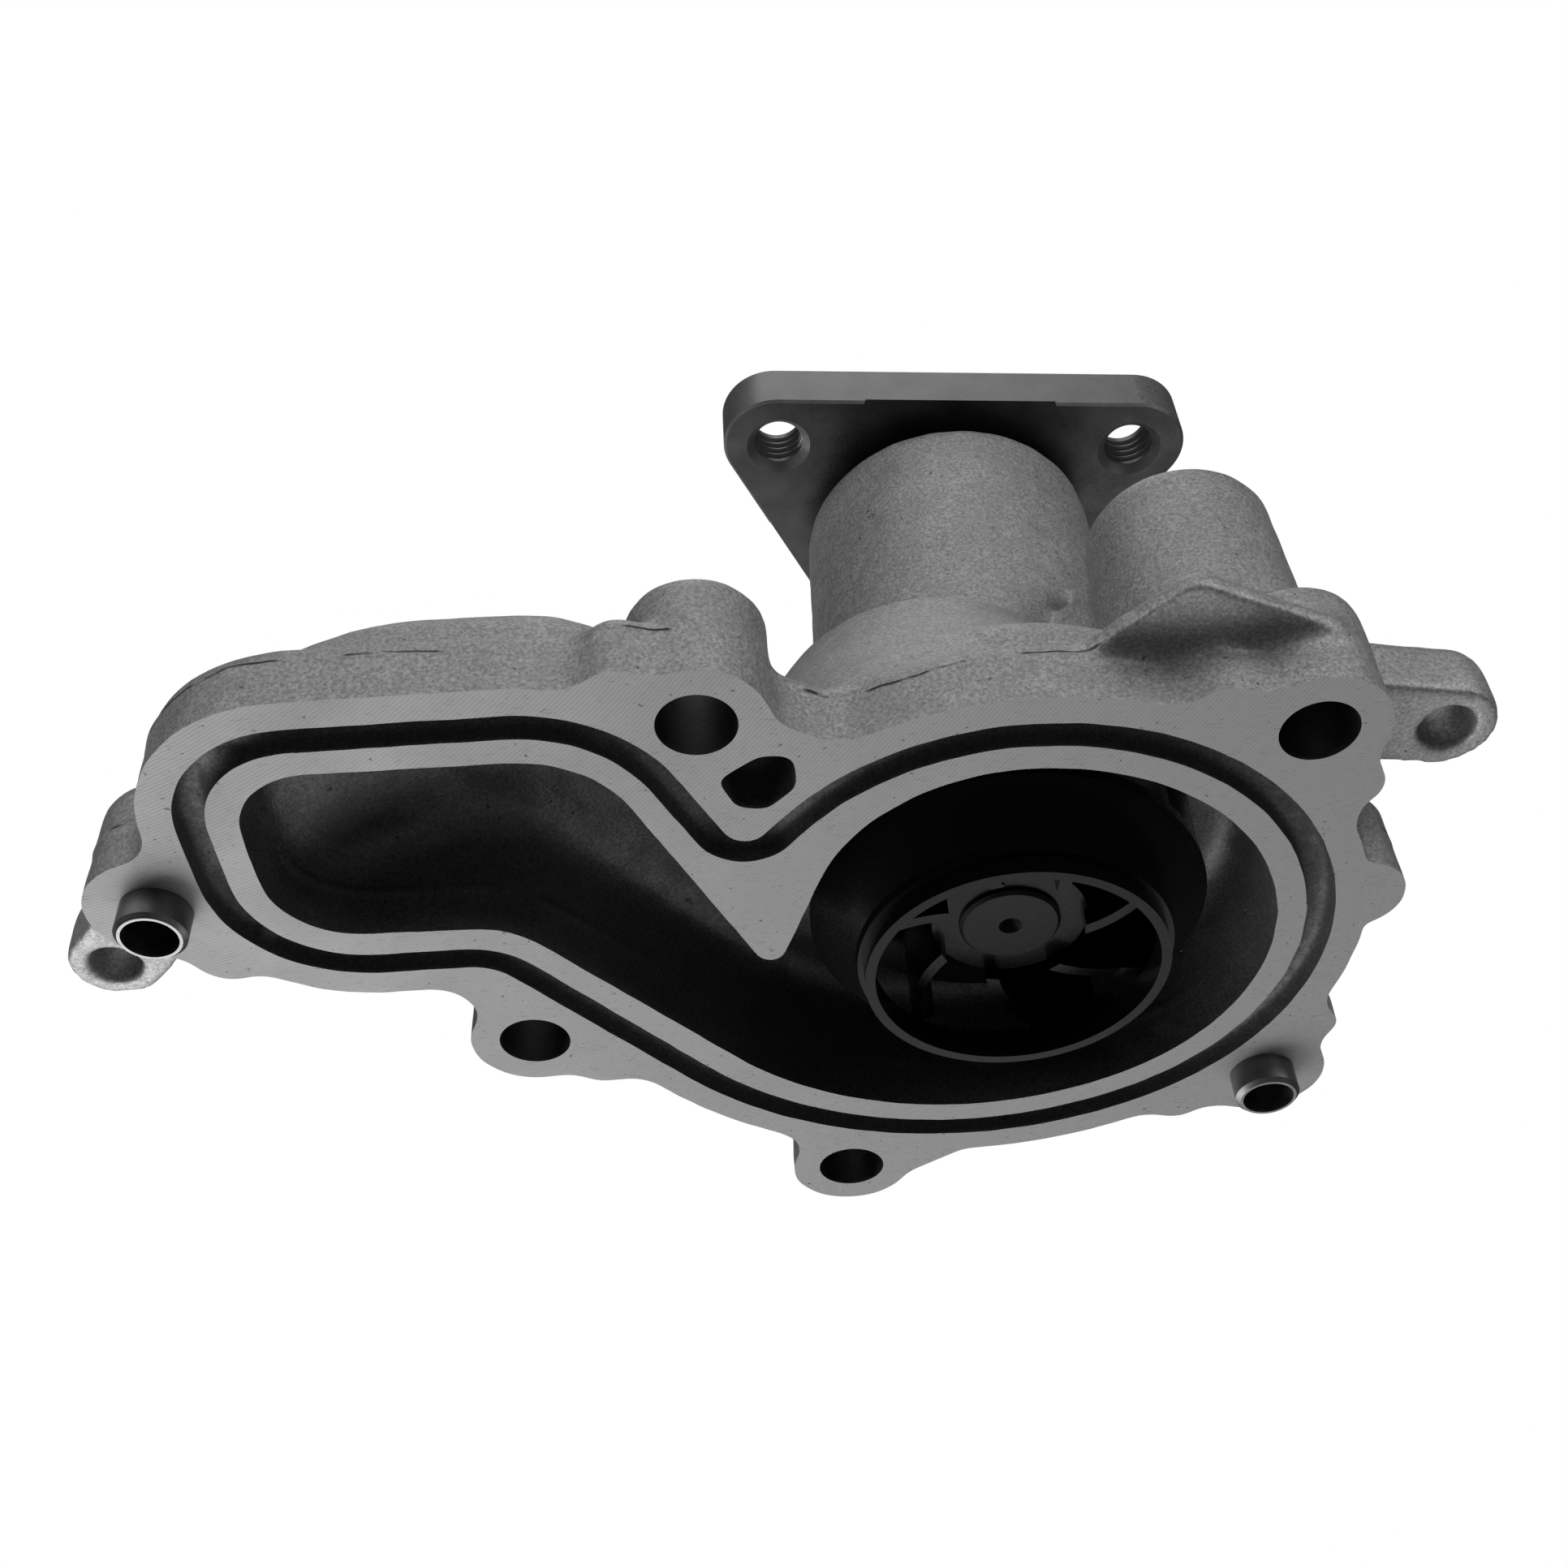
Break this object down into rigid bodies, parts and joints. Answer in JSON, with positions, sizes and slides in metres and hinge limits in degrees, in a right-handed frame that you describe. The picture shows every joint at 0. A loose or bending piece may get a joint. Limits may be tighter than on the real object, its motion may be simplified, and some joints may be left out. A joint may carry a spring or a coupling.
{
  "type": "water pump",
  "caption": "Automotive coolant pump: cast housing with open volute, gasket groove and bearing snout, closed plastic impeller and a triangular hub flange on an integral shaft bearing.",
  "frame": {"origin": "on the shaft axis, in the plane of the machined mounting face", "axes": "+Z along the shaft to the hub flange, away from the engine; +X along the casting from the outlet pocket to the volute"},
  "size_m": [0.1659, 0.1004, 0.0929],
  "materials": {
    "cast_aluminium": "as-cast skin, milled face",
    "dowel_steel": "turned",
    "bearing_steel": "ground",
    "shaft_steel": "ground, dull end",
    "hub_steel": "turned and milled",
    "stamped_steel": "pressed sheet",
    "cage_nylon": "moulded",
    "seal_rubber": "moulded",
    "seal_ceramic": "lapped",
    "seal_carbon": "lapped",
    "impeller_plastic": "moulded, semi-gloss"
  },
  "bodies": {
    "housing": {"pump_housing": "cast_aluminium", "dowel_left": "dowel_steel", "dowel_right": "dowel_steel", "bearing_outer_race": "bearing_steel", "bearing_seal_inner": "seal_rubber", "bearing_seal_outer": "seal_rubber", "seal_case": "stamped_steel", "carbon_ring": "seal_carbon", "seal_bellows": "seal_rubber", "seal_spring": "stamped_steel", "reservoir_plug": "stamped_steel"},
    "rotor": {"pump_shaft": "shaft_steel", "hub_flange": "hub_steel", "impeller_disc": "impeller_plastic", "impeller_shroud": "impeller_plastic", "impeller_insert": "shaft_steel", "seal_sleeve": "stamped_steel", "seat_cup": "seal_rubber", "seal_seat_ring": "seal_ceramic"},
    "ball_train": {"bearing_balls": "bearing_steel", "ball_cage": "cage_nylon"},
    "roller_train": {"bearing_rollers": "bearing_steel", "roller_cage": "cage_nylon"}
  },
  "joints": [
    {"name": "shaft_spin", "type": "hinge", "parent": "housing", "child": "rotor", "pos_m": [0, 0, 0.056], "axis": [0, 0, 1], "continuous": true},
    {"name": "ball_orbit", "type": "hinge", "parent": "housing", "child": "ball_train", "pos_m": [0, 0, 0.047], "axis": [0, 0, 1], "continuous": true},
    {"name": "roller_orbit", "type": "hinge", "parent": "housing", "child": "roller_train", "pos_m": [0, 0, 0.0635], "axis": [0, 0, 1], "continuous": true}
  ],
  "couplings": [
    {"joint": "ball_orbit", "follows": "shaft_spin", "ratio": 0.3697},
    {"joint": "roller_orbit", "follows": "shaft_spin", "ratio": 0.3906}
  ]
}
